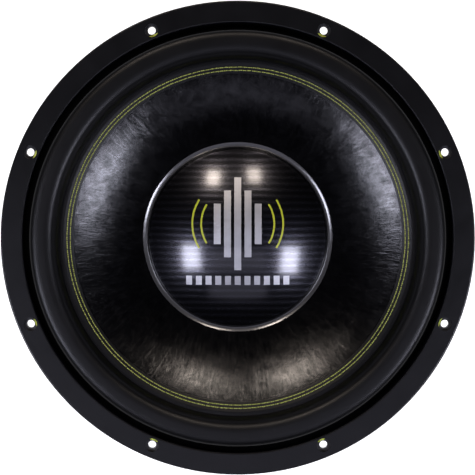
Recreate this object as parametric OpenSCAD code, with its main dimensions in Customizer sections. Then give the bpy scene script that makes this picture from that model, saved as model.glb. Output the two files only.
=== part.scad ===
// 15-inch (38 cm) car subwoofer driver with a dual voice coil.
// The driver stands on the back of its motor, cone up. Z is the cone's axis and the base is at z = 0.

/* [Flange] */
// Diameter over the rubber trim ring
flange_d = 396; // [388:1:404]
// Bolt circle of the flange
bolt_circle_d = 374.8; // [370:0.2:378]
// Diameter of each flange bolt hole
bolt_hole_d = 6.6; // [5:0.2:7]
// Number of flange bolts
bolt_count = 8; // [4:4:16]
// Diameter of the round wall that drops into the baffle's cut-out
spigot_d = 354; // [350:1:356]
// Height of that wall below the flange
spigot_h = 10; // [6:1:14]
// Distance from the back of the motor to the back face of the flange
mounting_depth = 206; // [200:1:216]
// Thickness of the flange under the surround
flange_floor = 7; // [5:0.5:9]
// Height of the rubber trim ring
trim_ring_h = 5; // [4:0.5:7]
// Diameter inside the rubber trim ring
trim_ring_bore_d = 358.5; // [358:0.5:361]

/* [Moving parts] */
// Diameter of the cone
cone_d = 292; // [288:1:296]
// Radius of the curve of the cone's wall
cone_curve_r = 221; // [215:1:240]
// Slope of the cone at its outer edge, in degrees from flat
cone_edge_slope = 15; // [12:1:18]
// Thickness of the cone's wall
cone_wall = 1.8; // [1.4:0.1:2.2]
// Diameter of the dust cap
dust_cap_d = 152; // [149:1:155]
// Radius of the dust cap's dome
dome_r = 170; // [150:1:190]
// Height of the surround's roll
roll_h = 15; // [13:0.5:17]

/* [Motor] */
// Inside diameter of the voice coil
coil_d = 76; // [75.6:0.1:76.2]
// Height of the winding
winding_h = 50; // [40:1:52]
// Diameter of the ferrite rings
magnet_d = 220; // [216:1:222]
// Height of each ferrite ring
magnet_h = 25; // [22:1:26]
// Diameter of the two steel plates
plate_d = 200; // [190:1:204]
// Thickness of the top plate
top_plate_h = 14; // [12:1:15]
// Thickness of the back plate
back_plate_h = 14; // [12:1:15]

/* [Basket] */
// Number of basket spokes
spoke_count = 8; // [8:1:8]
// Width of each window at its foot
window_foot_w = 34; // [30:1:40]
// Width of each window under the rim
window_head_w = 74; // [60:1:82]
// Thickness of the basket's wall
basket_wall = 4; // [3:0.5:5]

/* [Terminals] */
// Travel of a spring-loaded push button
button_travel = 3; // [2:0.5:3]
// Diameter of the hole that takes the wire
wire_hole_d = 5; // [4:0.2:5.2]

/* [Hidden] */
$fn = 96;

// Levels of the motor, from the floor up
boot_foot = 3;
yoke_z = boot_foot;
magnet_z = yoke_z + back_plate_h;
top_plate_z = magnet_z + 2 * magnet_h;
basket_z = top_plate_z + top_plate_h;
gap_z = top_plate_z + top_plate_h / 2;

// Levels of the flange
flange_z = mounting_depth;
landing_z = flange_z + flange_floor;
landing_h = 1.2;
seal_h = 0.8;
trim_z = landing_z + landing_h + seal_h;
flange_top = trim_z + trim_ring_h;

// Flange radii
flange_r = flange_d / 2;
spigot_r = spigot_d / 2;
bolt_r = bolt_circle_d / 2;
trim_bore_r = trim_ring_bore_d / 2;
trim_hole_r = 5.6;
recess_r = bolt_r - bolt_hole_d / 2 - 0.1;
seal_r = recess_r - 0.2;
lip_out_r = seal_r - 0.8;
first_bolt = 22.5;

// Cone: an arc that is steep at the neck and flat at the edge
cone_r = cone_d / 2;
cone_edge_z = landing_z;
cone_cx = cone_r + cone_curve_r * sin(cone_edge_slope);
cone_cz = cone_edge_z - cone_curve_r * cos(cone_edge_slope);
former_r = coil_d / 2;
former_wall = 0.4;
former_out = former_r + former_wall;
neck_r = former_out + 1.2;
neck_z = cone_z(neck_r);

// Surround
roll_out_r = trim_bore_r - 5.4;
roll_in_r = cone_r + 3;
roll_c = (roll_out_r + roll_in_r) / 2;
roll_half = (roll_out_r - roll_in_r) / 2;
roll_squareness = 3.2;
roll_lean = 2.6;
rubber = 1.6;
lip_r = 137.7;
stitch_r = [140.1, 142.8];
thread_r = 0.45;

// Dust cap
cap_r = dust_cap_d / 2;
cap_wall = 1;
cap_edge_r = cap_r - 2.5;
cap_edge_z = cone_z(cap_r) + 5.6;
glue_r = cap_r + 4.6;

// Coil
coil_low = gap_z - winding_h / 2;
layer = 0.9;
winding_r = former_out + 2 * layer;
gap_r = winding_r + 0.6;
pole_r = former_r - 1.4;
sleeve = 0.8;
former_top = neck_z + 9;
vent_r = 14;
vent_mouth_r = 22;

// Spiders
shelf_z = basket_z + 35;
spider_in_r = former_out + 0.9;
spider_land_in = 87.5;
spider_land_out = 104;
spider_wall = 0.9;
spider_rolls = 6;
spider_roll_h = 3.4;
spacer_h = 12;
clamp_h = 4;

// Basket
wall_foot_r = 106;
wall_foot_z = shelf_z - 4;
wall_top_z = flange_z - spigot_h;
wall_flare = 1.7;
can_in_r = 88;
can_out_r = 94;
base_ring_in = 50;
base_ring_h = 7;
motor_bolt_r = 72;
motor_bolt_d = 6;
boot_wall = 4;

// Terminals: local X points away from the basket
pad_r = 124.5;
boss_r = 107;
pad_z = 136;
pad_w = 48;
pad_h = 25;
post_y = 9.5;
post_r = 5;
post_bore_r = 3.2;
post_floor = 3;
post_len = 24;
plunger_r = 3.14;
plunger_back = 9;
wire_at = 16;
cap_len = 5;
block_depth = 13;
lead_d = 2.4;
lead_in_r = former_out + 2.1;
lead_z = neck_z - 11.5;
tab_in_r = 104.5;

// ---- Geometry helpers ----

// Height of the cone's front face at a radius
function cone_z(r) = cone_cz + sqrt(pow(cone_curve_r, 2) - pow(cone_cx - r, 2));

// Points of an arc from angle a0 to a1
function arc(c, r, a0, a1, steps) = [for (i = [0:steps]) let (a = a0 + (a1 - a0) * i / steps)
    [c.x + r * cos(a), c.y + r * sin(a)]];

// A list in reverse order
function flip(list) = [for (i = [len(list) - 1:-1:0]) list[i]];

// Points along the cone's wall between two radii, a depth below its front face
function cone_run(r0, r1, depth, steps) = let (
        a0 = acos((r0 - cone_cx) / cone_curve_r),
        a1 = acos((r1 - cone_cx) / cone_curve_r))
    arc([cone_cx, cone_cz], cone_curve_r - depth, a0, a1, steps);

// Radius of the basket's outside at a share of the wall's height
function wall_r(t) = wall_foot_r + (spigot_r - wall_foot_r) * pow(t, wall_flare);
function wall_z(t) = wall_foot_z + (wall_top_z - wall_foot_z) * t;

// A closed outline with every corner rounded to radius r
function rounded(points, r, steps = 5) = [for (i = [0:len(points) - 1]) let (
        p = points[i],
        a = points[(i + len(points) - 1) % len(points)] - p,
        b = points[(i + 1) % len(points)] - p,
        ua = a / norm(a),
        ub = b / norm(b),
        half = acos(ua * ub) / 2,
        c = p + (ua + ub) / norm(ua + ub) * r / sin(half),
        start = p + ua * r / tan(half) - c,
        end = p + ub * r / tan(half) - c,
        a0 = atan2(start.y, start.x),
        sweep = (atan2(end.y, end.x) - a0 + 540) % 360 - 180)
    each arc(c, r, a0, a0 + sweep, steps)];

module ring(r0, r1, h, z) {
    translate([0, 0, z])
        difference() {
            cylinder(r = r1, h = h);
            translate([0, 0, -1])
                cylinder(r = r0, h = h + 2);
        }
}

module around(count, first = 0) {
    for (i = [0:count - 1])
        rotate([0, 0, first + i * 360 / count])
            children();
}

// A round tube swept along a path of points
function unit(v) = v / norm(v);
function sweep_ring(path, i, r, sides) = let (
        last = len(path) - 1,
        t = unit(path[min(i + 1, last)] - path[max(i - 1, 0)]),
        side = unit(cross(t, abs(t.z) > 0.9 ? [1, 0, 0] : [0, 0, 1])),
        up = cross(side, t))
    [for (k = [0:sides - 1]) path[i] + r * (cos(k * 360 / sides) * side + sin(k * 360 / sides) * up)];

module tube_along(path, r, sides = 8) {
    last = len(path) - 1;
    points = [for (i = [0:last]) each sweep_ring(path, i, r, sides)];
    walls = [for (i = [0:last - 1], k = [0:sides - 1])
        [i * sides + k, i * sides + (k + 1) % sides, (i + 1) * sides + (k + 1) % sides, (i + 1) * sides + k]];
    caps = [[for (k = [sides - 1:-1:0]) k], [for (k = [0:sides - 1]) last * sides + k]];
    polyhedron(points, concat(walls, caps));
}

// ---- Basket and flange ----

module flange_holes(r, d, z0, z1) {
    around(bolt_count, first_bolt)
        translate([r, 0, z0])
            cylinder(r = d / 2, h = z1 - z0);
}

// Base ring, can, flared wall and flange, as one solid of revolution
module basket_shell() {
    steps = 8;
    seat_r = spider_land_out + 1.5;
    inner_r = spigot_r - 4;
    ring_top = basket_z + base_ring_h;
    outside = [for (i = [0:steps]) [wall_r(i / steps), wall_z(i / steps)]];
    inside = [for (i = [steps:-1:0]) let (t = i / steps)
        [wall_r(t) - basket_wall, wall_z(t) + 0.6 * basket_wall]];
    rotate_extrude()
        polygon(concat(
            [[base_ring_in, basket_z], [can_out_r + 3, basket_z], [can_out_r + 3, ring_top - 2],
                [can_out_r, ring_top + 1], [can_out_r, wall_foot_z - 6], [wall_foot_r - 3, wall_foot_z - 3]],
            outside,
            [[spigot_r, flange_z], [flange_r - 0.5, flange_z], [flange_r - 0.5, trim_z], [recess_r, trim_z],
                [recess_r, landing_z], [inner_r, landing_z], [inner_r, wall_top_z + 4]],
            [for (p = inside) if (p.x > seat_r + 0.5 && p.x < inner_r - 1) p],
            [[seat_r, shelf_z + 6], [seat_r, shelf_z], [can_in_r, shelf_z], [can_in_r, ring_top + 3],
                [can_in_r - 3, ring_top], [base_ring_in, ring_top]]));
}

// Two ribs down the outside of a spoke, from the rim to the base ring
module spoke_ribs() {
    rib_t = 5;
    rib_depth = 8;
    rib_gap = 13;
    bite = 2.5;
    steps = 8;
    outer = [for (i = [0:steps]) let (t = i / steps)
        [min(wall_r(t) + rib_depth * (1 - pow(t, 3)), spigot_r - 1.5), wall_z(t)]];
    inner = [for (i = [steps:-1:0]) [wall_r(i / steps) - bite, wall_z(i / steps)]];
    for (side = [-1, 1])
        translate([0, side * rib_gap / 2 + rib_t / 2, 0])
            rotate([90, 0, 0])
                linear_extrude(rib_t)
                    polygon(concat(
                        [[can_out_r - bite, basket_z + 1], [can_out_r + 5, basket_z + 1]],
                        outer, inner, [[can_out_r - bite, wall_foot_z - 7]]));
}

// Opening between two spokes
module window() {
    low = shelf_z + 9;
    high = wall_top_z - 6;
    foot = window_foot_w / 2;
    head = window_head_w / 2;
    outline = rounded([[-foot, low], [foot, low], [head, high], [-head, high]], 9);
    translate([wall_foot_r - 20, 0, 0])
        rotate([90, 0, 90])
            linear_extrude(spigot_r - wall_foot_r + 30)
                polygon(outline);
}

// Cooling slot below the spider
module can_slot() {
    low = basket_z + base_ring_h + 5;
    high = wall_foot_z - 5;
    outline = rounded([[-15, low], [15, low], [15, high], [-15, high]], 5);
    translate([can_in_r - 8, 0, 0])
        rotate([90, 0, 90])
            linear_extrude(22)
                polygon(outline);
}

// Solid boss with a flat seat for a terminal block, across one spoke
module terminal_pad() {
    outline = rounded([[-pad_w / 2, pad_z - pad_h / 2], [pad_w / 2, pad_z - pad_h / 2],
        [pad_w / 2, pad_z + pad_h / 2], [-pad_w / 2, pad_z + pad_h / 2]], 4);
    translate([boss_r, 0, 0])
        rotate([90, 0, 90])
            linear_extrude(pad_r - boss_r)
                polygon(outline);
}

// Space in front of a terminal's seat, where the ribs are milled away
module rib_relief() {
    translate([pad_r - 2, -pad_w / 2 - 2, pad_z - pad_h / 2 - 1])
        cube([20, pad_w + 4, pad_h + 2]);
}

module basket() {
    color([0.07, 0.07, 0.08])
        difference() {
            union() {
                difference() {
                    basket_shell();
                    around(spoke_count, 180 / spoke_count)
                        window();
                    around(spoke_count, 180 / spoke_count)
                        can_slot();
                }
                difference() {
                    around(spoke_count)
                        spoke_ribs();
                    around(2, 90)
                        rib_relief();
                }
                around(2, 90)
                    terminal_pad();
            }
            flange_holes(bolt_r, bolt_hole_d, flange_z - 1, trim_z + 1);
            around(8, 22.5)
                translate([motor_bolt_r, 0, basket_z - 1])
                    cylinder(d = motor_bolt_d + 0.6, h = base_ring_h + 2);
            around(2, 90) {
                for (side = [-1, 1])
                    translate([boss_r - 8, side * post_y - 4, pad_z - 4])
                        cube([pad_r - boss_r + 9, 8, 8]);
                for (z = [-8, 8])
                    translate([pad_r - 12, 0, pad_z + z])
                        rotate([0, 90, 0])
                            cylinder(d = 3, h = 13);
            }
        }
}

module trim_ring() {
    soft = 1.2;
    soft_in = 1.8;
    color([0.08, 0.08, 0.09])
        difference() {
            rotate_extrude()
                polygon(concat([[trim_bore_r, trim_z], [flange_r, trim_z]],
                    arc([flange_r - soft, flange_top - soft], soft, 0, 90, 4),
                    arc([trim_bore_r + soft_in, flange_top - soft_in], soft_in, 90, 180, 4)));
            flange_holes(bolt_r, 2 * trim_hole_r, trim_z - 1, flange_top + 1);
        }
}

module landing_seal() {
    color([0.55, 0.62, 0.15])
        ring(trim_bore_r + 0.6, seal_r, seal_h, trim_z - seal_h);
}

// ---- Suspension ----

// The roll's arch from its outer foot to its inner one, a depth below its surface: a squared half
// ellipse that leans outward
function roll_arch(depth, steps) = [for (i = [0:steps]) let (
        a = 180 * i / steps,
        out = sign(cos(a)) * pow(abs(cos(a)), 2 / roll_squareness),
        up = pow(abs(sin(a)), 2 / roll_squareness))
    [roll_c + (roll_half - depth) * out + roll_lean * up,
        landing_z + rubber + (roll_h - depth) * up]];

// Half roll between its two landings, with a lip that follows the cone's edge
module surround() {
    steps = 24;
    over = roll_arch(0, steps);
    under = flip(roll_arch(rubber, steps));
    lip = [for (i = [0:4]) let (r = lip_r + (cone_r - lip_r) * i / 4) [r, cone_z(r)]];
    top_lip = [for (p = flip(lip)) [p.x, p.y + rubber + 0.1]];
    under_lip = [for (p = lip) [p.x, p.y + 0.1]];
    color([0.06, 0.06, 0.065])
        rotate_extrude()
            polygon(concat(
                [[lip_out_r, landing_z], [lip_out_r, landing_z + landing_h],
                    [roll_out_r, landing_z + landing_h]],
                over, top_lip, under_lip, [[roll_in_r + rubber, landing_z + 0.1]],
                under, [[roll_out_r - rubber, landing_z]]));
}

// Corrugated disc with a flat outer landing and a collar on the former
module spider(z) {
    steps = 8 * spider_rolls;
    span = spider_land_in - spider_in_r - 3;
    wave = [for (i = [0:steps]) [spider_in_r + 3 + span * i / steps,
        z + spider_roll_h * sin(360 * spider_rolls * i / steps) * sin(180 * i / steps)]];
    rotate_extrude()
        polygon(concat([[spider_in_r, z], [spider_in_r, z + 5], [spider_in_r + 1, z + 5],
                [spider_in_r + 1.4, z + spider_wall]],
            [for (p = wave) [p.x, p.y + spider_wall]],
            [[spider_land_out, z + spider_wall], [spider_land_out, z]],
            flip(wave)));
}

module spider_lower() {
    color([0.72, 0.62, 0.25])
        spider(shelf_z);
}

module spider_upper() {
    color([0.72, 0.62, 0.25])
        spider(shelf_z + spider_wall + spacer_h);
}

module spider_spacer() {
    color([0.1, 0.1, 0.1])
        ring(spider_land_in + 1, spider_land_out, spacer_h, shelf_z + spider_wall);
}

module spider_clamp_ring() {
    color([0.1, 0.1, 0.1])
        ring(spider_land_in + 1, spider_land_out, clamp_h, shelf_z + 2 * spider_wall + spacer_h);
}

// ---- Motor ----

module top_plate() {
    soft = 1.5;
    color([0.12, 0.12, 0.13])
        difference() {
            rotate_extrude()
                polygon([[gap_r, top_plate_z], [plate_d / 2 - soft, top_plate_z],
                    [plate_d / 2, top_plate_z + soft], [plate_d / 2, basket_z - soft],
                    [plate_d / 2 - soft, basket_z], [gap_r, basket_z]]);
            around(8, 22.5)
                translate([motor_bolt_r, 0, basket_z - 11])
                    cylinder(d = motor_bolt_d, h = 12);
        }
}

module magnet(z) {
    soft = 1;
    color([0.2, 0.2, 0.21])
        rotate_extrude()
            polygon([[magnet_d / 4, z], [magnet_d / 2 - soft, z], [magnet_d / 2, z + soft],
                [magnet_d / 2, z + magnet_h - soft], [magnet_d / 2 - soft, z + magnet_h],
                [magnet_d / 4, z + magnet_h]]);
}

module magnet_upper() {
    magnet(magnet_z + magnet_h);
}

module magnet_lower() {
    magnet(magnet_z);
}

// Back plate and vented pole in one piece
module yoke() {
    soft = 1.5;
    flare = vent_mouth_r - vent_r;
    color([0.55, 0.55, 0.57])
        rotate_extrude()
            polygon(concat(
                [[plate_d / 2 - soft, yoke_z], [plate_d / 2, yoke_z + soft], [plate_d / 2, magnet_z],
                    [pole_r + 3, magnet_z], [pole_r, magnet_z + 3], [pole_r, basket_z + 1],
                    [pole_r - 2, basket_z + 3]],
                arc([vent_r + 4, basket_z - 1], 4, 90, 180, 5),
                arc([vent_mouth_r, yoke_z + 3 + flare], flare, 180, 270, 6),
                [[vent_mouth_r + 2, yoke_z + 3], [vent_mouth_r + 2, yoke_z]]));
}

module pole_sleeve() {
    color([0.78, 0.45, 0.28])
        ring(pole_r, pole_r + sleeve, top_plate_h + 16, top_plate_z - 14);
}

module pole_base_ring() {
    color([0.75, 0.75, 0.77])
        ring(gap_r + 2, magnet_d / 4 - 0.5, 16, magnet_z);
}

// Rubber cover over the magnets, with grooves round its side
module magnet_boot() {
    out_r = magnet_d / 2 + 0.5 + boot_wall;
    top = top_plate_z + 2.4;
    groove = 1.4;
    grooves = [for (i = [0:4]) let (z = magnet_z + 7 + i * 9)
        each [[out_r, z], [out_r - groove, z + 1], [out_r - groove, z + 2.6], [out_r, z + 3.6]]];
    color([0.06, 0.06, 0.06])
        rotate_extrude()
            polygon(concat(
                [[plate_d / 2 - 16, 0], [plate_d / 2 - 1, 0], [plate_d / 2 + 4, 2], [out_r - 2, magnet_z - 1],
                    [out_r, magnet_z + 4]],
                grooves,
                [[out_r, top - 3], [out_r - 3, top], [plate_d / 2 + 3, top],
                    [plate_d / 2 + 3, top_plate_z + 0.3], [magnet_d / 2 + 0.5, top_plate_z + 0.3],
                    [magnet_d / 2 + 0.5, magnet_z - 0.3],
                    [plate_d / 2 + 0.5, magnet_z - 0.3], [plate_d / 2 + 0.5, boot_foot - 0.2],
                    [plate_d / 2 - 16, boot_foot - 0.2]]));
}

// Perforated disc over the mouth of the pole vent
module vent_screen() {
    pitch = 4.4;
    hole = 1.5;
    color([0.15, 0.15, 0.15])
        difference() {
            translate([0, 0, yoke_z + 0.8])
                cylinder(r = vent_mouth_r + 1.9, h = 1.2);
            for (row = [-4:4], col = [-4:4]) {
                x = (col + (row % 2 == 0 ? 0 : 0.5)) * pitch;
                y = row * pitch * sin(60);
                if (norm([x, y]) < vent_mouth_r - 3)
                    translate([x, y, yoke_z])
                        cylinder(r = hole, h = 3);
            }
        }
}

// Socket-head screw, head down to z = 0 and shank below it
module cap_screw(d, length, head_h) {
    difference() {
        union() {
            cylinder(d = d * 1.65, h = head_h);
            translate([0, 0, -length])
                cylinder(d = d - 0.1, h = length);
        }
        translate([0, 0, head_h - d / 2])
            cylinder(d = d, h = d, $fn = 6);
    }
}

module motor_bolts() {
    color([0.3, 0.3, 0.32])
        around(8, 22.5)
            translate([motor_bolt_r, 0, basket_z + base_ring_h])
                cap_screw(motor_bolt_d, base_ring_h + 10, 6);
}

// ---- Cone and coil ----

module cone() {
    color([0.08, 0.08, 0.09])
        rotate_extrude()
            polygon(concat(
                cone_run(neck_r, cone_r, 0, 16),
                flip(cone_run(neck_r + 1.2, cone_r, cone_wall, 16))));
}

// Shallow dome with a rounded shoulder that stands on the cone
module dust_cap() {
    top_z = cap_edge_z + dome_r - sqrt(pow(dome_r, 2) - pow(cap_edge_r, 2));
    edge = asin(cap_edge_r / dome_r);
    c = [0, cap_edge_z - dome_r * cos(edge)];
    foot = cone_z(cap_r) + 0.15;
    color([0.12, 0.12, 0.13])
        rotate_extrude()
            polygon(concat(
                [[0, top_z - cap_wall]], [[0, top_z]],
                [for (i = [1:12]) let (a = 90 - edge * i / 12) c + dome_r * [cos(a), sin(a)]],
                [[cap_r - 0.8, cap_edge_z - 2.2], [cap_r, foot + 0.8], [cap_r, foot], [cap_r - 1.2, foot]],
                [[cap_r - 1.7, cap_edge_z - 2.8], [cap_edge_r - 0.8, cap_edge_z - cap_wall]],
                [for (i = [11:-1:1]) let (a = 90 - edge * i / 12)
                    c + (dome_r - cap_wall) * [cos(a), sin(a)]]));
}

// Glossy fillet of adhesive between the cap and the cone
module dust_cap_glue() {
    steps = 8;
    rise = 3.4;
    start = cap_r + 0.1;
    bed = [for (i = [0:steps]) let (r = start + (glue_r - start) * i / steps) [r, cone_z(r) + 0.1]];
    top = [for (i = [0:steps]) let (t = i / steps, r = start + (glue_r - start) * t)
        [r, cone_z(r) + 0.3 + rise * pow(1 - t, 2.2)]];
    color([0.1, 0.1, 0.1])
        rotate_extrude()
            polygon(concat(bed, flip(top)));
}

// One row of thread along the surround's lip
module stitches(r) {
    translate([0, 0, cone_z(r) + rubber + thread_r + 0.15])
        rotate_extrude()
            translate([r, 0])
                circle(r = thread_r, $fn = 16);
}

module stitching_outer() {
    color([0.68, 0.72, 0.2])
        stitches(stitch_r[1]);
}

module stitching_inner() {
    color([0.68, 0.72, 0.2])
        stitches(stitch_r[0]);
}

module coil_former() {
    color([0.7, 0.7, 0.72])
        ring(former_r, former_out, former_top - coil_low + 2, coil_low - 2);
}

module winding_inner() {
    color([0.72, 0.4, 0.2])
        ring(former_out, former_out + layer, winding_h, coil_low);
}

module winding_outer() {
    color([0.72, 0.4, 0.2])
        ring(former_out + layer, winding_r, winding_h, coil_low);
}

// Moulded collar that ties the cone's neck to the former
module neck_collar() {
    under_z = cone_z(neck_r + 4) - cone_wall - 2.2;
    color([0.12, 0.12, 0.12])
        rotate_extrude()
            polygon([[former_out, neck_z - 9], [former_out + 1.6, neck_z - 9], [neck_r + 4.5, under_z],
                [neck_r + 1.2, neck_z - 1.4], [former_out, neck_z - 1.4]]);
}

// Angles of the four leads, two at each terminal
lead_angles = [for (a = [90, 270], side = [-1, 1]) a + side * asin(post_y / former_out)];

// Flat conductors from the winding up the outside of the former
module lead_strips() {
    low = coil_low + winding_h + 0.2;
    color([0.75, 0.42, 0.22])
        for (a = lead_angles)
            rotate([0, 0, a - 3])
                rotate_extrude(angle = 6)
                    polygon([[former_out + 0.02, low], [former_out + 0.5, low],
                        [former_out + 0.5, lead_z + 1.8], [former_out + 0.02, lead_z + 1.8]]);
}

module solder_joints() {
    color([0.8, 0.8, 0.82])
        for (a = lead_angles)
            rotate([0, 0, a])
                translate([former_out + 0.65, 0, lead_z])
                    rotate([0, 90, 0])
                        cylinder(r1 = 2, r2 = 1.3, h = 1.4);
}

// ---- Terminals ----

// Places a part made in a terminal's own frame: side 0 is A at -Y, side 1 is B at +Y
module at_terminal(side) {
    rotate([0, 0, side == 0 ? 270 : 90])
        translate([pad_r, 0, pad_z])
            children();
}

// Positive is the post at local +Y, negative at local -Y
module at_post(side, pole) {
    at_terminal(side)
        translate([0, pole * post_y, 0])
            rotate([0, 90, 0])
                children();
}

// Raised bar of a polarity sign on the block's front face
module sign_bar(y, z, w, h) {
    relief = 0.6;
    translate([block_depth - 1, y - w / 2, z - h / 2])
        cube([1 + relief, w, h]);
}

module terminal_block() {
    w = 42;
    h = 24;
    step = 1.5;
    sign_y = 18;
    sign_z = 8;
    sign_l = 3.2;
    sign_t = 0.9;
    difference() {
        union() {
            for (inset = [0, 1])
                translate([0.1, 0, 0])
                    rotate([90, 0, 90])
                        linear_extrude(block_depth - 0.1 - step * (1 - inset))
                            polygon(rounded([[inset - w / 2, inset - h / 2], [w / 2 - inset, inset - h / 2],
                                [w / 2 - inset, h / 2 - inset], [inset - w / 2, h / 2 - inset]], 4 - inset));
            for (side = [-1, 1]) {
                translate([block_depth - 1, side * post_y, 0])
                    rotate([0, 90, 0])
                        cylinder(r = 7.4, h = 3.5);
                sign_bar(side * sign_y, sign_z, sign_l, sign_t);
            }
            sign_bar(sign_y, sign_z, sign_t, sign_l);
        }
        for (side = [-1, 1])
            translate([-1, side * post_y, 0])
                rotate([0, 90, 0])
                    cylinder(r = post_r + 0.1, h = block_depth + 6);
        for (z = [-8, 8])
            translate([-1, 0, z])
                rotate([0, 90, 0])
                    cylinder(d = 3.4, h = block_depth + 3);
    }
}

module terminal_screws() {
    for (z = [-8, 8])
        translate([block_depth + 0.1, 0, z])
            rotate([0, 90, 0])
                cap_screw(3, block_depth + 6, 2.4);
}

// Brass post with a blind bore, a cross hole for the wire and a solder tab behind
module post() {
    soft = 0.8;
    groove = 0.4;
    groove_z = post_len - 4.5;
    difference() {
        union() {
            rotate_extrude()
                polygon([[0, 0.1], [post_r, 0.1], [post_r, groove_z], [post_r - groove, groove_z + groove],
                    [post_r - groove, groove_z + 1], [post_r, groove_z + 1 + groove],
                    [post_r, post_len - soft], [post_r - soft, post_len], [0, post_len]]);
            translate([-3, -2.5, tab_in_r - pad_r])
                cube([1.2, 5, pad_r - tab_in_r + 2]);
        }
        translate([0, 0, post_floor])
            cylinder(r = post_bore_r, h = post_len);
        translate([-post_r - 1, 0, wire_at])
            rotate([0, 90, 0])
                cylinder(d = wire_hole_d, h = 2 * post_r + 2);
    }
}

// Sprung plunger with a cap; its cross hole lines up with the post's when it is pressed
module button() {
    cap_side_r = post_r + 1;
    low = post_len + button_travel + 0.5;
    high = low + cap_len;
    groove = 0.5;
    difference() {
        rotate_extrude()
            polygon([[0, plunger_back], [plunger_r - 0.4, plunger_back], [plunger_r, plunger_back + 0.4],
                [plunger_r, low], [cap_side_r - groove, low], [cap_side_r, low + groove],
                [cap_side_r, low + 1.4], [cap_side_r - groove, low + 1.9], [cap_side_r - groove, low + 2.3],
                [cap_side_r, low + 2.8], [cap_side_r, high - 1], [cap_side_r - 0.3, high - 0.3],
                [cap_side_r - 1, high], [cap_side_r - 2.4, high], [cap_side_r - 3.6, high - 0.4],
                [0, high - 0.7]]);
        translate([-post_r, 0, wire_at + button_travel])
            rotate([0, 90, 0])
                cylinder(d = wire_hole_d, h = 2 * post_r);
    }
}

// Compression spring behind the plunger
module spring() {
    turns = 4;
    wire_r = 0.28;
    coil_r = 2.5;
    steps = 12 * turns;
    low = post_floor + wire_r + 0.1;
    rise = plunger_back - post_floor - 2 * wire_r - 0.2;
    tube_along([for (i = [0:steps]) [coil_r * cos(30 * i), coil_r * sin(30 * i), low + rise * i / steps]],
        wire_r, 6);
}

// Flexible lead that arches from a solder tab to the former
module tinsel(side, pole) {
    y = pole * post_y;
    start = [tab_in_r - 0.2, y, pad_z + 3.6 + lead_d / 2];
    end = [sqrt(pow(lead_in_r + 0.5, 2) - pow(y, 2)) + 1.4, y, lead_z];
    arch = 17;
    rotate([0, 0, side == 0 ? 270 : 90])
        tube_along([for (i = [0:16]) let (t = i / 16)
            start + (end - start) * t + [0, 0, arch * 4 * t * (1 - t)]], lead_d / 2);
}

module brass() {
    color([0.8, 0.66, 0.3])
        children();
}

module steel() {
    color([0.6, 0.6, 0.62])
        children();
}

module button_colour(pole) {
    color(pole > 0 ? [0.65, 0.08, 0.07] : [0.08, 0.08, 0.09])
        children();
}

// ---- One line for each node ----

basket();
trim_ring();
landing_seal();
surround();
spider_lower();
spider_upper();
spider_spacer();
spider_clamp_ring();
top_plate();
magnet_upper();
magnet_lower();
yoke();
pole_sleeve();
pole_base_ring();
magnet_boot();
vent_screen();
motor_bolts();
color([0.1, 0.1, 0.1]) at_terminal(0) terminal_block();  // terminal_block_a
color([0.1, 0.1, 0.1]) at_terminal(1) terminal_block();  // terminal_block_b
steel() at_terminal(0) terminal_screws();  // terminal_screws_a
steel() at_terminal(1) terminal_screws();  // terminal_screws_b
brass() at_post(0, 1) post();  // post_a_positive
brass() at_post(0, -1) post();  // post_a_negative
brass() at_post(1, 1) post();  // post_b_positive
brass() at_post(1, -1) post();  // post_b_negative
steel() at_post(0, 1) spring();  // spring_a_positive
steel() at_post(0, -1) spring();  // spring_a_negative
steel() at_post(1, 1) spring();  // spring_b_positive
steel() at_post(1, -1) spring();  // spring_b_negative
button_colour(1) at_post(0, 1) button();  // button_a_positive
button_colour(-1) at_post(0, -1) button();  // button_a_negative
button_colour(1) at_post(1, 1) button();  // button_b_positive
button_colour(-1) at_post(1, -1) button();  // button_b_negative
brass() tinsel(0, 1);  // tinsel_a_positive
brass() tinsel(0, -1);  // tinsel_a_negative
brass() tinsel(1, 1);  // tinsel_b_positive
brass() tinsel(1, -1);  // tinsel_b_negative
cone();
dust_cap();
dust_cap_glue();
stitching_outer();
stitching_inner();
coil_former();
winding_inner();
winding_outer();
neck_collar();
lead_strips();
solder_joints();
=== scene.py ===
import math
import random

import bmesh
import bpy
import numpy as np
from mathutils import Matrix, Vector


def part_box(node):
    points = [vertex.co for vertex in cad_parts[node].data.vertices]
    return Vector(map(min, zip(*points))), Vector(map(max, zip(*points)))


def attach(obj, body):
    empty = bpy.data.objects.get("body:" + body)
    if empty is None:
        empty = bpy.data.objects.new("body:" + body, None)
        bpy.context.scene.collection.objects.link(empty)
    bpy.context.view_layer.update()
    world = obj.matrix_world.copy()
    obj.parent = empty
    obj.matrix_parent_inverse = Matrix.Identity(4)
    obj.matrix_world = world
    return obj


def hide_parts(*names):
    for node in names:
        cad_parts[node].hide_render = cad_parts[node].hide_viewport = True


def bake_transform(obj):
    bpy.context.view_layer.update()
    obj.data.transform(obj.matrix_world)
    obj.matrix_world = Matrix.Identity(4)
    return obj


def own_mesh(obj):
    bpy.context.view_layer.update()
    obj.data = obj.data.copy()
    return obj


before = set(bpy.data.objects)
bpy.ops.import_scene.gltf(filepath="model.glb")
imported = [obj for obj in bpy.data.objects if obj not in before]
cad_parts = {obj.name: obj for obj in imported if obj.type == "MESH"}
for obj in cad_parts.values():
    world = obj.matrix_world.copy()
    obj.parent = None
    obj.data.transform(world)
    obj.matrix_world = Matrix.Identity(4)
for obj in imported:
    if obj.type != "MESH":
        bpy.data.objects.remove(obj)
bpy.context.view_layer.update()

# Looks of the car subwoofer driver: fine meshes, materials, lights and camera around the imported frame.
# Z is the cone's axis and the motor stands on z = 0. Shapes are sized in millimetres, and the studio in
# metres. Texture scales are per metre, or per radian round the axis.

MM = 0.001
FRAME = "frame"
MOVING = "cone_assembly"

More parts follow.
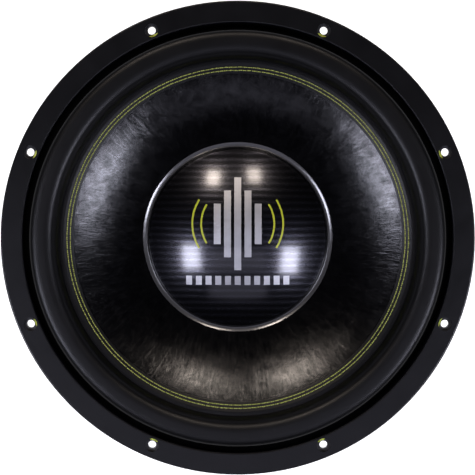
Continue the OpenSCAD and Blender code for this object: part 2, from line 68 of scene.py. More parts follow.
# ---- Driving sizes, as in the part's source ----

CONE_R = 146.0
CONE_CURVE_R = 221.0
CONE_EDGE_SLOPE = 15.0
CONE_WALL = 1.8
TOW_PITCH = 5.3
COIL_R = 38.4
NECK_R = COIL_R + 1.2
DOME_R = 170.0
CAP_R = 76.0
CAP_H = 5.6
CAP_EDGE_R = CAP_R - 2.5
GLUE_R = CAP_R + 4.2
ROLL_IN = 149.0
ROLL_GAP = 5.4
ROLL_H = 15.0
ROLL_POWER = 3.2
ROLL_LEAN = 2.6
RUBBER = 1.6
LIP_R = 137.7
SHELF_Z = 116.0
STITCH_ROWS = {"stitching_inner": 140.1, "stitching_outer": 142.8}

LANDING_H = 1.2
SEAL_H = 0.8

# Levels and radii that come from the frame
TRIM_LOW, TRIM_HIGH = (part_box("trim_ring")[i].z / MM for i in (0, 1))
LANDING_Z = TRIM_LOW - SEAL_H - LANDING_H
FLANGE_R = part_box("trim_ring")[1].x / MM
CONE_EDGE_Z = LANDING_Z


def radii(node):
    """Smallest and largest distance of a CAD node's vertices from the Z axis, in millimetres."""
    points = np.array([v.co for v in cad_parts[node].data.vertices])
    distance = np.hypot(points[:, 0], points[:, 1]) / MM
    return float(distance.min()), float(distance.max())


ROLL_OUT = radii("trim_ring")[0] - ROLL_GAP
LANDING_OUT = radii("surround")[1]

# The cone is an arc about this centre, in the (r, z) plane
CONE_CX = CONE_R + CONE_CURVE_R * math.sin(math.radians(CONE_EDGE_SLOPE))
CONE_CZ = CONE_EDGE_Z - CONE_CURVE_R * math.cos(math.radians(CONE_EDGE_SLOPE))


def cone_z(r):
    """Height of the cone's front face at radius r, in millimetres."""
    return CONE_CZ + math.sqrt(CONE_CURVE_R**2 - (CONE_CX - r) ** 2)


CAP_EDGE_Z = cone_z(CAP_R) + CAP_H
DOME_CZ = CAP_EDGE_Z - math.sqrt(DOME_R**2 - CAP_EDGE_R**2)


def dome_z(r):
    """Height of the dust cap's dome at radius r, in millimetres."""
    return DOME_CZ + math.sqrt(DOME_R**2 - r**2)


# ---- Mesh helpers ----


def add_object(name, vertices, faces, material, smooth_angle=35):
    """A mesh object from millimetre points, smooth-shaded up to an angle."""
    mesh = bpy.data.meshes.new(name)
    mesh.from_pydata((np.asarray(vertices, float) * MM).tolist(), [], faces)
    mesh.update()
    mesh.shade_smooth()
    mesh.set_sharp_from_angle(angle=math.radians(smooth_angle))
    mesh.materials.append(material)
    obj = bpy.data.objects.new(name, mesh)
    bpy.context.scene.collection.objects.link(obj)
    return obj


def revolve(name, profile, material, segments, smooth_angle=35):
    """A closed outline of (r, z) points turned about Z."""
    profile = np.asarray(profile, float)
    angles = np.linspace(0, 2 * math.pi, segments, endpoint=False)
    x = np.outer(np.cos(angles), profile[:, 0])
    y = np.outer(np.sin(angles), profile[:, 0])
    z = np.tile(profile[:, 1], (segments, 1))
    points = np.stack([x, y, z], axis=-1).reshape(-1, 3)
    count = len(profile)
    faces = []
    for i in range(segments):
        j = (i + 1) % segments
        for k in range(count):
            n = (k + 1) % count
            faces.append((i * count + k, j * count + k, j * count + n, i * count + n))
    obj = add_object(name, points, faces, material, smooth_angle)
    face_outward(obj)
    return obj


def face_outward(obj):
    """Point every face of a closed mesh outward."""
    bm = bmesh.new()
    bm.from_mesh(obj.data)
    bmesh.ops.recalc_face_normals(bm, faces=bm.faces)
    bm.to_mesh(obj.data)
    bm.free()


def arc(cx, cz, r, start, end, steps):
    """Points of an arc in the (r, z) plane, angles in degrees."""
    turns = np.radians(np.linspace(start, end, steps + 1))
    return [(cx + r * math.cos(a), cz + r * math.sin(a)) for a in turns]


def tube_rings(path, radius, sides):
    """Vertices and faces of a round tube along a path, with closed ends."""
    path = np.asarray(path, float)
    tangents = np.gradient(path, axis=0)
    tangents /= np.linalg.norm(tangents, axis=1)[:, None]
    up = np.array([0.0, 0.0, 1.0])
    side = np.cross(tangents, up)
    weak = np.linalg.norm(side, axis=1) < 1e-3
    side[weak] = np.cross(tangents[weak], [1.0, 0.0, 0.0])
    side /= np.linalg.norm(side, axis=1)[:, None]
    rise = np.cross(side, tangents)
    turn = np.linspace(0, 2 * math.pi, sides, endpoint=False)[None, :, None]
    rings = path[:, None] + radius * (np.cos(turn) * side[:, None] + np.sin(turn) * rise[:, None])
    faces = []
    for i in range(len(path) - 1):
        here = i * sides
        ahead = here + sides
        for k in range(sides):
            n = (k + 1) % sides
            faces.append((here + k, here + n, ahead + n, ahead + k))
    last = (len(path) - 1) * sides
    faces.append(tuple(range(sides))[::-1])
    faces.append(tuple(last + k for k in range(sides)))
    return rings.reshape(-1, 3), faces


def tubes(name, paths, radius, sides, material):
    """Several tubes joined into one object."""
    vertices, faces, base = [], [], 0
    for path in paths:
        points, walls = tube_rings(path, radius, sides)
        vertices.append(points)
        faces += [tuple(base + i for i in face) for face in walls]
        base += len(points)
    obj = add_object(name, np.vstack(vertices), faces, material, 60)
    face_outward(obj)
    return obj


# ---- Material helpers ----

# A wave texture of scale 1 repeats at this distance
WAVE_PERIOD = math.pi / 10


class Paint:
    """A Principled material with short calls for the nodes that shape it."""

    def __init__(self, name, colour, roughness, metallic=0.0, **sockets):
        self.material = bpy.data.materials.new(name)
        self.material.use_nodes = True
        self.tree = self.material.node_tree
        self.shader = self.tree.nodes["Principled BSDF"]
        self.set("Base Color", (*colour, 1.0))
        self.set("Roughness", roughness)
        self.set("Metallic", metallic)
        for key, value in sockets.items():
            self.set(key.replace("_", " "), value)
        self.position = self.tree.nodes.new("ShaderNodeTexCoord").outputs["Object"]
        self.normal = None

    def set(self, socket, value):
        self.shader.inputs[socket].default_value = value

    def link(self, output, socket):
        self.tree.links.new(output, self.shader.inputs[socket])

    def feed(self, node, inputs):
        """Each named input gets a constant or another node's output."""
        for key, value in inputs.items():
            if hasattr(value, "is_output"):
                self.tree.links.new(value, node.inputs[key])
            else:
                node.inputs[key].default_value = value

    def scaled(self, scale):
        """Object position times a scale on each axis."""
        node = self.tree.nodes.new("ShaderNodeMapping")
        self.feed(node, {"Vector": self.position, "Scale": scale})
        return node.outputs["Vector"]

    def polar(self, around_scale, out_scale, up_scale):
        """Position as angle, radius and height, so that a texture runs round the axis."""
        split = self.tree.nodes.new("ShaderNodeSeparateXYZ")
        self.feed(split, {"Vector": self.position})
        x, y, z = (split.outputs[k] for k in "XYZ")
        angle = self.math("ARCTAN2", y, x)
        square = self.math("ADD", self.math("MULTIPLY", x, x), self.math("MULTIPLY", y, y))
        radius = self.math("SQRT", square)
        join = self.tree.nodes.new("ShaderNodeCombineXYZ")
        scaled = {
            "X": self.math("MULTIPLY", angle, around_scale),
            "Y": self.math("MULTIPLY", radius, out_scale),
            "Z": self.math("MULTIPLY", z, up_scale),
        }
        self.feed(join, scaled)
        return join.outputs["Vector"]

    def math(self, operation, a, b=0.0):
        node = self.tree.nodes.new("ShaderNodeMath")
        node.operation = operation
        self.feed(node, {0: a, 1: b})
        return node.outputs[0]

    def noise(self, vector, scale, detail=3.0, roughness=0.55, distortion=0.0):
        """Cloudy values about 0.5."""
        node = self.tree.nodes.new("ShaderNodeTexNoise")
        self.feed(node, {"Vector": vector, "Scale": scale, "Detail": detail})
        self.feed(node, {"Roughness": roughness, "Distortion": distortion})
        return node.outputs["Fac"]

    def cells(self, vector, scale):
        """Distance from the nearest of many scattered points."""
        node = self.tree.nodes.new("ShaderNodeTexVoronoi")
        self.feed(node, {"Vector": vector, "Scale": scale})
        return node.outputs["Distance"]

    def waves(self, vector, period, direction="X", distortion=0.0, detail=1.0):
        """Sine bands, one each period along a direction."""
        node = self.tree.nodes.new("ShaderNodeTexWave")
        node.bands_direction = direction
        self.feed(node, {"Vector": vector, "Scale": WAVE_PERIOD / period})
        self.feed(node, {"Distortion": distortion, "Detail": detail})
        return node.outputs["Fac"]

    def span(self, value, low, high, to_low=0.0, to_high=1.0):
        """A value's range mapped to another, with the ends held."""
        node = self.tree.nodes.new("ShaderNodeMapRange")
        self.feed(node, {"Value": value, "From Min": low, "From Max": high})
        self.feed(node, {"To Min": to_low, "To Max": to_high})
        return node.outputs["Result"]

    def colours(self, value, *stops):
        """Base colour from a value, through (place, colour) stops."""
        node = self.tree.nodes.new("ShaderNodeValToRGB")
        ramp = node.color_ramp
        for i, (place, colour) in enumerate(stops):
            stop = ramp.elements[i] if i < 2 else ramp.elements.new(place)
            stop.position = place
            stop.color = (*colour, 1.0)
        self.feed(node, {"Fac": value})
        self.link(node.outputs["Color"], "Base Color")
        return self

    def rough(self, value, low, high):
        """Roughness that follows a value from 0 to 1."""
        self.link(self.span(value, 0.0, 1.0, low, high), "Roughness")
        return self

    def sheen(self, value, low, high):
        """Strength of the mirror-like reflection, which follows a value from 0 to 1."""
        self.set("Specular IOR Level", (low + high) / 2)
        self.link(self.span(value, 0.0, 1.0, low, high), "Specular IOR Level")
        return self

    def bump(self, height, depth_mm, strength=1.0):
        """One more layer of relief, whose full height is depth_mm."""
        node = self.tree.nodes.new("ShaderNodeBump")
        self.feed(node, {"Height": height, "Distance": depth_mm * MM, "Strength": strength})
        if self.normal is not None:
            self.tree.links.new(self.normal, node.inputs["Normal"])
        self.normal = node.outputs["Normal"]
        self.link(self.normal, "Normal")
        return self


def powder_coat():
    """Black powder coat with an orange-peel surface."""
    p = Paint("powder_coat", (0.018, 0.018, 0.019), 0.45)
    grain = p.noise(p.position, 900.0, 2.0)
    p.bump(grain, 0.12).bump(p.noise(p.position, 120.0, 2.0), 0.25, 0.6)
    return p.rough(p.noise(p.position, 60.0, 3.0), 0.36, 0.54).material


def moulded_rubber(name, colour, low, high, shine=0.4, grain_mm=0.06):
    """Satin black rubber with a fine mould texture and slight bloom."""
    p = Paint(name, colour, 0.5, Specular_IOR_Level=shine)
    bloom = p.noise(p.position, 35.0, 4.0, 0.6)
    lighter = tuple(c * 1.6 for c in colour)
    p.colours(bloom, (0.35, colour), (0.75, lighter))
    p.bump(p.noise(p.position, 1400.0, 2.0), grain_mm).bump(p.noise(p.position, 160.0, 2.0), 0.15, 0.4)
    return p.rough(bloom, low, high).material


def cone_skin():
    """Coated pulp: pressed fibres that run mostly outward, with a leathery crinkle and a satin coat."""
    p = Paint("cone_skin", (0.001, 0.001, 0.0015), 0.2)
    streaks = p.noise(p.polar(26.0, 40.0, 20.0), 1.0, 4.0, 0.6, 0.8)
    crinkle = p.noise(p.polar(60.0, 120.0, 60.0), 1.0, 5.0, 0.65, 1.2)
    fibre = p.noise(p.polar(200.0, 420.0, 200.0), 1.0, 3.0, 0.6, 0.6)
    p.colours(streaks, (0.3, (0.0004, 0.0004, 0.0007)), (0.7, (0.0012, 0.0012, 0.0016)))
    blotches = p.noise(p.position, 95.0, 4.0, 0.62, 0.4)
    worn = p.math("MULTIPLY", p.span(blotches, 0.32, 0.68), p.span(crinkle, 0.25, 0.75, 0.55, 1.0))
    p.bump(streaks, 0.25, 0.4).bump(crinkle, 0.19, 0.55).bump(fibre, 0.045, 0.55)
    return p.sheen(worn, 0.19, 0.69).rough(p.span(crinkle, 0.3, 0.7), 0.14, 0.25).material


def woven_gloss():
    """Dark fibre weave under clear resin: tows that run across, each with fine yarns."""
    p = Paint("woven_gloss", (0.03, 0.03, 0.035), 0.36, 1.0, Coat_Weight=1.0, Coat_Roughness=0.15)
    tows = p.waves(p.scaled((0.6, 1, 1)), TOW_PITCH * MM, "Y", 0.9, 2.0)
    yarn = p.noise(p.scaled((260, 1500, 400)), 1.0, 3.0, 0.6)
    p.colours(tows, (0.2, (0.01, 0.01, 0.013)), (0.95, (0.027, 0.027, 0.034)))
    p.bump(tows, 0.1, 0.7).bump(yarn, 0.03, 0.5)
    return p.rough(yarn, 0.2, 0.32).material


def set_adhesive():
    """Black glue with a wet shine."""
    p = Paint("set_adhesive", (0.045, 0.045, 0.047), 0.19, Specular_IOR_Level=1.0)
    return p.bump(p.noise(p.polar(9.0, 60.0, 60.0), 1.0, 2.0), 0.15, 0.4).material


def groove_shade_paint():
    """Painted shade: near-black, dull rubber at the foot of the groove outside the roll, standing in for
    the shade that falls there.
    """
    p = Paint("groove_painted_shade", (0.0004, 0.0004, 0.0005), 0.9, Specular_IOR_Level=0.02)
    return p.bump(p.noise(p.position, 600.0, 2.0), 0.08).material


def thread():
    """Lime sewing thread with its twist."""
    p = Paint("lime_thread", (0.42, 0.47, 0.055), 0.6, Sheen_Weight=0.3)
    ply = p.waves(p.polar(0.142, 0.3, 0.0), 0.0009, "DIAGONAL", 0.4)
    p.colours(ply, (0.1, (0.18, 0.21, 0.03)), (0.8, (0.48, 0.53, 0.1)))
    return p.bump(ply, 0.12).material


def foam_lime():
    """Open-cell foam of the landing seal."""
    p = Paint("foam_lime", (0.75, 0.85, 0.12), 0.7)
    p.colours(p.noise(p.position, 300.0, 2.0), (0.3, (0.68, 0.78, 0.08)), (0.7, (0.85, 0.95, 0.2)))
    return p.bump(p.cells(p.position, 1500.0), 0.1).material


def spider_cloth():
    """Resin-dipped cotton: over-and-under threads in a warm straw colour."""
    p = Paint("spider_cloth", (0.5, 0.38, 0.14), 0.75, Sheen_Weight=0.2)
    warp = p.waves(p.scaled((1, 0, 0)), 1.1 * MM, "X", 0.6, 2.0)
    weft = p.waves(p.scaled((0, 1, 0)), 1.1 * MM, "Y", 0.6, 2.0)
    weave = p.math("MULTIPLY", warp, weft)
    p.colours(weave, (0.0, (0.26, 0.18, 0.05)), (0.8, (0.62, 0.48, 0.2)))
    return p.bump(weave, 0.25).material


def metal(name, colour, low, high, around=None, stain=0.85):
    """Metal with handling stains, and turned marks when around is the marks' scale."""
    p = Paint(name, colour, low, 1.0)
    patches = p.noise(p.position, 55.0, 4.0, 0.6)
    p.colours(patches, (0.3, tuple(c * stain for c in colour)), (0.7, colour))
    if around:
        p.bump(p.noise(p.polar(3.0, around, around), 1.0, 2.0), 0.03)
    else:
        p.bump(p.noise(p.position, 1200.0, 2.0), 0.03)
    return p.rough(patches, low, high).material


def wound_copper():
    """Lacquered wire in close turns."""
    p = Paint("wound_copper", (0.62, 0.24, 0.1), 0.3, 1.0)
    turns = p.waves(p.scaled((0, 0, 1)), 0.9 * MM, "Z")
    p.colours(turns, (0.1, (0.25, 0.08, 0.03)), (0.8, (0.72, 0.31, 0.14)))
    return p.bump(turns, 0.4).material


def ferrite():
    """Sintered ceramic, mottled and dull."""
    p = Paint("ferrite", (0.05, 0.05, 0.055), 0.6, 0.0)
    mottle = p.noise(p.position, 90.0, 5.0, 0.7)
    p.colours(mottle, (0.3, (0.035, 0.035, 0.038)), (0.7, (0.075, 0.075, 0.08)))
    return p.bump(p.noise(p.position, 700.0, 3.0), 0.15).material


def steel_black():
    """Black-plated steel with turned marks."""
    p = Paint("steel_black", (0.016, 0.016, 0.017), 0.38, 0.0, Specular_IOR_Level=0.6)
    p.bump(p.noise(p.polar(3.0, 900.0, 900.0), 1.0, 2.0), 0.05)
    return p.rough(p.noise(p.position, 70.0, 3.0), 0.28, 0.48).material


def plastic(name, colour, rough=0.3):
    """Moulded plastic with a fine grain."""
    p = Paint(name, colour, rough)
    p.bump(p.noise(p.position, 1500.0, 2.0), 0.04)
    return p.rough(p.noise(p.position, 150.0, 2.0), rough - 0.06, rough + 0.1).material


def card_black():
    """Dyed paper board."""
    p = Paint("card_black", (0.02, 0.02, 0.02), 0.8)
    return p.bump(p.noise(p.position, 500.0, 4.0), 0.2).material


def braid():
    """Copper braid over cotton."""
    p = Paint("tinsel_braid", (0.62, 0.4, 0.2), 0.35, 0.8)
    strands = p.waves(p.scaled((1, 1, 1)), 0.7 * MM, "DIAGONAL", 0.5)
    p.colours(strands, (0.2, (0.3, 0.16, 0.07)), (0.8, (0.75, 0.52, 0.28)))
    return p.bump(strands, 0.15).material


def floor_paint():
    """White that glows, like the photo's plain background."""
    p = Paint("studio_floor", (0.8, 0.8, 0.8), 0.9, Emission_Strength=1.0)
    p.set("Emission Color", (1, 1, 1, 1))
    return p.material


# ---- Materials on the CAD nodes that stay ----

BRASS = metal("gilt_brass", (0.83, 0.6, 0.22), 0.16, 0.34, 900.0)
STEEL = metal("plated_steel", (0.62, 0.6, 0.56), 0.24, 0.42)
TERMINAL = plastic("terminal_plastic", (0.014, 0.014, 0.014), 0.34)
CARD = card_black()
COPPER = wound_copper()
STEEL_BLACK = steel_black()
FERRITE = ferrite()
BARE_ALUMINIUM = metal("bare_aluminium", (0.78, 0.78, 0.79), 0.25, 0.4, 700.0)

KEPT = {
    "basket": powder_coat(),
    "landing_seal": foam_lime(),
    "spider_spacer": CARD,
    "spider_clamp_ring": CARD,
    "neck_collar": CARD,
    "top_plate": STEEL_BLACK,
    "vent_screen": STEEL_BLACK,
    "magnet_upper": FERRITE,
    "magnet_lower": FERRITE,
    "yoke": metal("zinc_plate", (0.55, 0.54, 0.5), 0.3, 0.5, 500.0, 0.75),
    "magnet_boot": moulded_rubber("boot_rubber", (0.014, 0.014, 0.014), 0.5, 0.7),
    "pole_sleeve": metal("pole_copper", (0.7, 0.32, 0.17), 0.25, 0.4, 700.0),
    "pole_base_ring": BARE_ALUMINIUM,
    "coil_former": BARE_ALUMINIUM,
    "motor_bolts": STEEL,
    "winding_inner": COPPER,
    "winding_outer": COPPER,
    "lead_strips": COPPER,
    "solder_joints": metal("solder", (0.7, 0.7, 0.72), 0.25, 0.4),
    "button_a_positive": plastic("button_red", (0.42, 0.016, 0.012)),
    "button_a_negative": plastic("button_black", (0.012, 0.012, 0.012)),
}


def kept_material(node):
    """The material of a CAD node that stays, or None where a finer mesh replaces it."""
    if node.startswith("button_"):
        return KEPT["button_a_positive" if node.endswith("positive") else "button_a_negative"]
    if node.startswith("post_"):
        return BRASS
    if node.startswith("terminal_block"):
        return TERMINAL
    if node.startswith("terminal_screws"):
        return STEEL
    return KEPT.get(node)


def give_material(node, material):
    """Puts one material on a CAD node."""
    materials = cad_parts[node].data.materials
    materials.clear()
    materials.append(material)


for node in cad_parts:
    if kept_material(node) is not None:
        give_material(node, kept_material(node))

TRIM_RUBBER = moulded_rubber("trim_rubber", (0.0012, 0.0012, 0.0018), 0.26, 0.34, 0.34, 0.03)
give_material("trim_ring", TRIM_RUBBER)


# ---- Surround ----


def radial_blend(obj):
    """Bakes obj's placement into its mesh."""
    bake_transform(obj)


def roll(inset, steps):
    """The roll's arch from its outer foot to its inner one, inset below its surface. It leans outward."""
    half, height = (ROLL_OUT - ROLL_IN) / 2 - inset, ROLL_H - inset
    turn = np.radians(np.linspace(0, 180, steps + 1))
    out = np.sign(np.cos(turn)) * np.abs(np.cos(turn)) ** (2 / ROLL_POWER)
    up = np.abs(np.sin(turn)) ** (2 / ROLL_POWER)
    r = (ROLL_IN + ROLL_OUT) / 2 + half * out + ROLL_LEAN * up
    return list(zip(r, LANDING_Z + RUBBER + height * up))


def make_surround():
    """Half-roll of rubber with a landing on the flange and a lip on the cone."""
    # painted_shade_from_r is the radius where the painted shade of the groove begins
    gap, foot_step, painted_shade_from_r = 0.1, 0.3, ROLL_OUT - 0.5
    over, under = roll(0, 72), roll(RUBBER, 36)[::-1]
    landing_top = LANDING_Z + LANDING_H
    landing = [(LANDING_OUT, LANDING_Z), (LANDING_OUT, landing_top), (ROLL_OUT + foot_step, landing_top)]
    lip = [(r, cone_z(r)) for r in np.linspace(LIP_R, CONE_R, 14)]
    top_lip = [(r, z + RUBBER + gap) for r, z in lip[::-1]]
    edge = [(LIP_R - 0.05, cone_z(LIP_R) + 1.3), (LIP_R - 0.1, cone_z(LIP_R) + 0.7)]
    under_lip = [(r, z + gap) for r, z in lip]
    outline = (
        landing
        + over
        + top_lip
        + edge
        + under_lip
        + [(ROLL_IN + RUBBER, LANDING_Z + gap)]
        + under
        + [(ROLL_OUT - RUBBER, LANDING_Z)]
    )
    rubber = moulded_rubber("roll_rubber", (0.0008, 0.0008, 0.0011), 0.31, 0.41, 0.27, 0.03)
    obj = revolve("surround_rubber", outline, rubber, 360, 50)
    obj.data.materials.append(groove_shade_paint())
    # Slot 1, painted shade for the dark groove, is outside the roll's foot
    for face in obj.data.polygons:
        x, y, _ = face.center
        face.material_index = int(math.hypot(x, y) > painted_shade_from_r * MM)
    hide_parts("surround")
    radial_blend(obj)


make_surround()


# ---- Cone ----


def make_cone():
    """A curved shell from its neck on the coil to its edge under the surround's lip."""
    start = math.degrees(math.acos((NECK_R - CONE_CX) / CONE_CURVE_R))
    end = math.degrees(math.acos((CONE_R - CONE_CX) / CONE_CURVE_R))
    front = arc(CONE_CX, CONE_CZ, CONE_CURVE_R, start, end, 110)
    back = arc(CONE_CX, CONE_CZ, CONE_CURVE_R - CONE_WALL, start - 0.3, end, 40)
    obj = revolve("cone_skin", front + back[::-1], cone_skin(), 420)
    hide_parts("cone")
    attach(obj, MOVING)


make_cone()


# ---- Dust cap ----


def make_dust_cap():
    """A thin dome with a rounded shoulder and a skirt that stands on the cone."""
    wall, skirt_wall, shoulder_r, bevel = 1.0, 1.2, 2.6, 0.8
    gap, pin_hole = 0.15, 0.01
    edge = math.degrees(math.asin(CAP_EDGE_R / DOME_R))
    dome = arc(0, DOME_CZ, DOME_R, 90, 90 - edge, 80)
    inner = arc(0, DOME_CZ, DOME_R - wall, 90 - edge, 90, 30)
    foot = cone_z(CAP_R) + gap
    shoulder = arc(CAP_EDGE_R - 0.4, CAP_EDGE_Z - shoulder_r, shoulder_r, 72, 8, 8)
    skirt = [(CAP_R, foot + bevel), (CAP_R, foot), (CAP_R - skirt_wall, foot)]
    skirt.append((CAP_R - 1.7, CAP_EDGE_Z - 2.8))
    outline = dome[:-1] + shoulder + skirt + inner
    outline[0] = (pin_hole, outline[0][1])
    outline[-1] = (pin_hole, outline[-1][1])
    obj = revolve("dust_cap_dome", outline, woven_gloss(), 300, 30)
    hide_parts("dust_cap")
    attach(obj, MOVING)


make_dust_cap()


def make_glue():
    """Fillet of glossy adhesive from the cap's foot out on to the cone."""
    gap, thin = 0.1, 0.2
    steps = np.linspace(0, 1, 25)
    start = CAP_R + gap
    spread = [start + (GLUE_R - start) * t for t in steps]
    bed = [(r, cone_z(r) + gap) for r in spread]
    top = []
    for (r, z), t in zip(bed, steps):
        rise = 1.0 * (1 - t) + 0.75 * (1 - t) ** 2 + 1.2 * (1 - t) ** 8
        top.append((r, z + thin + rise))
    obj = revolve("cap_glue_bead", bed + top[::-1], set_adhesive(), 300, 60)
    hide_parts("dust_cap_glue")
    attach(obj, MOVING)


make_glue()


# ---- Stitching ----


def stitch(middle, r, half_angle, level):
    """One stitch: it rises out of the lip, runs along the row and dives again."""
    path = []
    for s in np.linspace(-1, 1, 7):
        a = middle + s * half_angle
        lift = 0.45 * (1 - s**4) - 0.25 * s**4
        path.append((r * math.cos(a), r * math.sin(a), level + lift))
    return path


def make_stitches():
    """Both rows, with every stitch a little out of true."""
    material = thread()
    pitch, length, radius, proud = 3.9, 3.1, 0.42, 0.12
    rng = random.Random(7)
    for node, r in STITCH_ROWS.items():
        count = round(2 * math.pi * r / pitch)
        level = cone_z(r) + RUBBER + proud
        paths = []
        for i in range(count):
            middle = 2 * math.pi * i / count + rng.uniform(-0.05, 0.05) * pitch / r
            out = r + rng.uniform(-0.07, 0.07)
            paths.append(stitch(middle, out, length / 2 / r, level))
        obj = tubes(node + "_threads", paths, radius, 8, material)
        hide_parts(node)
        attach(obj, MOVING)


make_stitches()


# ---- Spiders ----


def make_spider(node):
    """A corrugated cloth disc between a collar on the coil and a flat landing on the shelf."""
    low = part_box(node)[0].z / MM
    rolls, roll_h, wall, collar_h = 6, 3.4, 0.9, 5
    inner, start = COIL_R + 0.1, COIL_R + 3.9
    outer, land = 87.5, 104.0
    level = low + (SHELF_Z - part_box("spider_lower")[0].z / MM)
    wave = []
    for t in np.linspace(0, 1, 145):
        rise = roll_h * math.sin(2 * math.pi * rolls * t) * math.sin(math.pi * t)
        wave.append((start + (outer - start) * t, level + rise))
    collar = [(inner, level), (inner, level + collar_h)]
    collar += [(inner + 1.9, level + collar_h), (inner + 2.3, level + wall)]
    outline = (
        collar
        + [(r, z + wall) for r, z in wave]
        + [(land, level + wall), (land, level)]
        + wave[::-1]
    )
    obj = revolve(node + "_cloth", outline, SPIDER, 240, 50)
    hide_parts(node)
    radial_blend(obj)


SPIDER = spider_cloth()
make_spider("spider_lower")
make_spider("spider_upper")


# ---- Leads and springs ----

LEAD_Y = 9.5
LEAD_D = 2.4
LEAD_ARCH = 17.0
LEAD_TURNS = 13
LEAD_SAMPLES = 121
PAD_Z = 136.0
TAB_H = 3.6
LEAD_START = (104.3, PAD_Z + TAB_H + LEAD_D / 2)
LEAD_END_R = COIL_R + 2.6
LEAD_END_DROP = 11.5
TERMINALS = {"a": -90.0, "b": 90.0}


def turned(points, degrees):
    """Points turned about Z."""
    a = math.radians(degrees)
    x, y, z = np.asarray(points, float).T
    return np.stack([x * math.cos(a) - y * math.sin(a), x * math.sin(a) + y * math.cos(a), z], axis=1)


def make_lead(side, pole, sign):
    """Three strands laid round each other along the arch from the solder tab to the former."""
    node = f"tinsel_{side}_{pole}"
    y = sign * LEAD_Y
    start = np.array([LEAD_START[0], y, LEAD_START[1]])
    end = np.array([math.sqrt(LEAD_END_R**2 - y**2) + 1.4, y, cone_z(NECK_R) - LEAD_END_DROP])
    t = np.linspace(0, 1, LEAD_SAMPLES)[:, None]
    path = start + (end - start) * t + np.array([0, 0, 1]) * LEAD_ARCH * 4 * t * (1 - t)
    strands = []
    for k in range(3):
        phase = 2 * math.pi * (t[:, 0] * LEAD_TURNS + k / 3)
        around = np.stack([np.zeros(LEAD_SAMPLES), np.cos(phase), np.sin(phase)], axis=1)
        offset = around * (LEAD_D * 0.27)
        strands.append(turned(path + offset, TERMINALS[side]))
    obj = tubes(node + "_strands", strands, LEAD_D * 0.26, 8, BRAID)
    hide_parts(node)
    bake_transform(obj)


BRAID = braid()
for side in "ab":
    for pole, sign in (("positive", 1), ("negative", -1)):
        make_lead(side, pole, sign)


def make_spring(side, pole):
    """Compression spring in a post's bore. The real one flattens as its button goes in; this one keeps its
    rest length on the frame.
    """
    node = f"spring_{side}_{pole}"
    low, high = (np.array(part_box(node)[i]) / MM for i in (0, 1))
    wire = 0.28
    turns, radius = 4, (high[0] - low[0]) / 2 - wire
    x, z = (low[0] + high[0]) / 2, (low[2] + high[2]) / 2
    t = np.linspace(0, 1, 24 * turns + 1)
    y = low[1] + wire + (high[1] - low[1] - 2 * wire) * t
    turn = 2 * math.pi * turns * t
    path = np.stack([x + radius * np.cos(turn), y, z + radius * np.sin(turn)], axis=1)
    obj = tubes(node + "_wire", [path], wire, 8, STEEL)
    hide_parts(node)
    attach(obj, FRAME)
    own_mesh(obj)


for side in "ab":
    for pole in ("positive", "negative"):
        make_spring(side, pole)


# ---- Mark on the cap: plain level bars between two pairs of sound arcs ----

MARK_Y = 11.5


def on_dome(x, y, lift):
    """A point above the dome's surface, or below it where lift is negative."""
    return (x, y, dome_z(math.hypot(x, y)) + lift)


def ribbon(left, right, thick=0.22, sunk=0.3):
    """A thin closed strip between two edges of (x, y) points, bedded on the dome."""
    count = len(left)
    rows = []
    for lift in (thick, -sunk):
        rows += [on_dome(*p, lift) for p in left] + [on_dome(*p, lift) for p in right]
    n = 2 * count
    faces = []
    for i in range(count - 1):
        faces.append((i, i + 1, count + i + 1, count + i))
        faces.append((n + i, n + count + i, n + count + i + 1, n + i + 1))
        faces.append((i, n + i, n + i + 1, i + 1))
        faces.append((count + i, count + i + 1, n + count + i + 1, n + count + i))
    faces.append((0, count, n + count, n))
    faces.append((count - 1, n + count - 1, n + 2 * count - 1, 2 * count - 1))
    return rows, faces


def joined_ribbons(name, ribbons, material):
    """Several ribbons as one object that rides on the cap."""
    vertices, faces, base = [], [], 0
    for rows, strip in ribbons:
        vertices += rows
        faces += [tuple(base + i for i in face) for face in strip]
        base += len(rows)
    obj = add_object(name, vertices, faces, material, 30)
    face_outward(obj)
    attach(obj, MOVING)


def strip(x, width, low, high):
    """An upright bar of the mark."""
    ys = np.linspace(low, high, 31)
    return ribbon([(x - width / 2, y) for y in ys], [(x + width / 2, y) for y in ys])


def sound_arc(facing, radius, half_angle=32, width=1.5):
    """A thin arc about the mark's middle, facing an angle in degrees."""
    turn = np.radians(np.linspace(facing - half_angle, facing + half_angle, 41))
    inner, outer = (
        [(r * math.cos(a), MARK_Y + r * math.sin(a)) for a in turn]
        for r in (radius, radius + width)
    )
    return ribbon(inner, outer, 0.3)


def make_mark():
    """Five level bars over a row of small blocks, with two arcs on each side."""
    pitch, width, heights = 8.6, 5.8, (34, 56, 78, 56, 34)
    blocks, block_pitch, block_width = 11, 8.2, 5.0
    block_low, block_high = -40.0, -32.4
    bars = []
    for i, height in enumerate(heights):
        bars.append(strip((i - 2) * pitch, width, MARK_Y - height / 2, MARK_Y + height / 2))
    for i in range(blocks):
        bars.append(strip((i - 5) * block_pitch, block_width, block_low, block_high))
    joined_ribbons("mark_bars", bars, metal("mark_silver", (0.5, 0.5, 0.52), 0.4, 0.5))
    arcs = [sound_arc(facing, radius) for facing in (0, 180) for radius in (30.0, 37.5)]
    joined_ribbons("mark_arcs", arcs, plastic("mark_lime", (0.5, 0.54, 0.02), 0.35))


make_mark()


# ---- Studio ----

# A point near the dust cap's top, in metres
AIM = Vector((0, 0, 0.2))


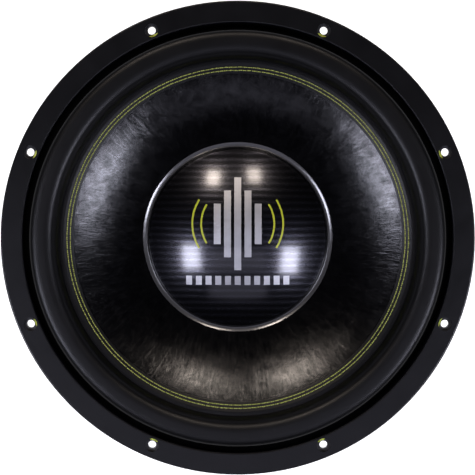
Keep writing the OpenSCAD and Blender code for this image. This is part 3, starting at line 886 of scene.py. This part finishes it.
def softbox(name, azimuth, off_axis, distance, size, radiance, colour):
    """A rectangular light that faces the dust cap, upright in the picture. Angles are in degrees, and
    off_axis is measured from the cone's axis."""
    a, t = math.radians(azimuth), math.radians(off_axis)
    back = Vector((math.sin(t) * math.cos(a), math.sin(t) * math.sin(a), math.cos(t)))
    across = Vector((0, 1, 0)).cross(back).normalized()
    light = bpy.data.lights.new(name, "AREA")
    light.shape = "RECTANGLE"
    light.size, light.size_y = size
    light.energy = radiance * math.pi * size[0] * size[1]
    light.color = colour
    obj = bpy.data.objects.new(name, light)
    axes = Matrix((across, back.cross(across), back)).transposed().to_4x4()
    obj.matrix_world = Matrix.Translation(AIM + distance * back) @ axes
    bpy.context.scene.collection.objects.link(obj)


COOL = (0.82, 0.83, 1.0)
WARM = (1.0, 0.87, 0.77)
FILL = (0.8, 0.79, 1.0)
softbox("cool_left", 206, 31.9, 1.8, (0.32, 0.44), 24, COOL)
softbox("cool_right", -26.6, 35.9, 1.9, (0.34, 0.49), 25, COOL)
softbox("warm_left", 113.5, 37.2, 6.0, (0.72, 0.86), 30, WARM)
softbox("warm_right", 74.5, 37.0, 6.0, (0.72, 0.86), 23, WARM)
softbox("fill", 270, 16, 1.5, (0.9, 0.34), 0.85, FILL)
softbox("low_fill", 270, 35, 0.8, (0.5, 0.18), 0.7, FILL)


def make_world():
    """Bright round the horizon and dark overhead, like a studio with a black ceiling."""
    world = bpy.data.worlds.new("studio")
    world.use_nodes = True
    tree = world.node_tree
    position = tree.nodes.new("ShaderNodeTexCoord")
    split = tree.nodes.new("ShaderNodeSeparateXYZ")
    ramp = tree.nodes.new("ShaderNodeValToRGB")
    stops = ((0.05, 0.9), (0.22, 0.05), (0.5, 0.012))
    tree.links.new(position.outputs["Generated"], split.inputs["Vector"])
    tree.links.new(split.outputs["Z"], ramp.inputs["Fac"])
    tree.links.new(ramp.outputs["Color"], tree.nodes["Background"].inputs["Color"])
    for i, (height, grey) in enumerate(stops):
        stop = ramp.color_ramp.elements[i] if i < 2 else ramp.color_ramp.elements.new(height)
        stop.position = height
        stop.color = (grey, grey, grey * 1.15, 1)
    bpy.context.scene.world = world


make_world()


def make_floor():
    """A plain white sheet, a hair below the motor."""
    half, level = 6.0, -0.0005
    mesh = bpy.data.meshes.new("floor")
    corners = [(-half, -half, level), (half, -half, level), (half, half, level), (-half, half, level)]
    mesh.from_pydata(corners, [], [(0, 1, 2, 3)])
    mesh.materials.append(floor_paint())
    obj = bpy.data.objects.new("floor", mesh)
    bpy.context.scene.collection.objects.link(obj)


make_floor()


def make_camera():
    """Looks down at the flange's middle from a little above it in the picture."""
    distance, sensor, aside, margin = 2.4, 36.0, 0.08, 1.0006
    width = 2 * FLANGE_R * MM * margin
    camera = bpy.data.cameras.new("camera")
    camera.sensor_width = sensor
    camera.lens = sensor * math.hypot(distance, aside) / width
    camera.shift_x = -0.0005
    camera.shift_y = 0.0017
    obj = bpy.data.objects.new("camera", camera)
    obj.location = (0, aside, distance + TRIM_HIGH * MM)
    obj.rotation_euler = (-math.atan2(aside, distance), 0, 0)
    bpy.context.scene.collection.objects.link(obj)
    bpy.context.scene.camera = obj


make_camera()
bpy.context.scene.view_settings.view_transform = "Standard"
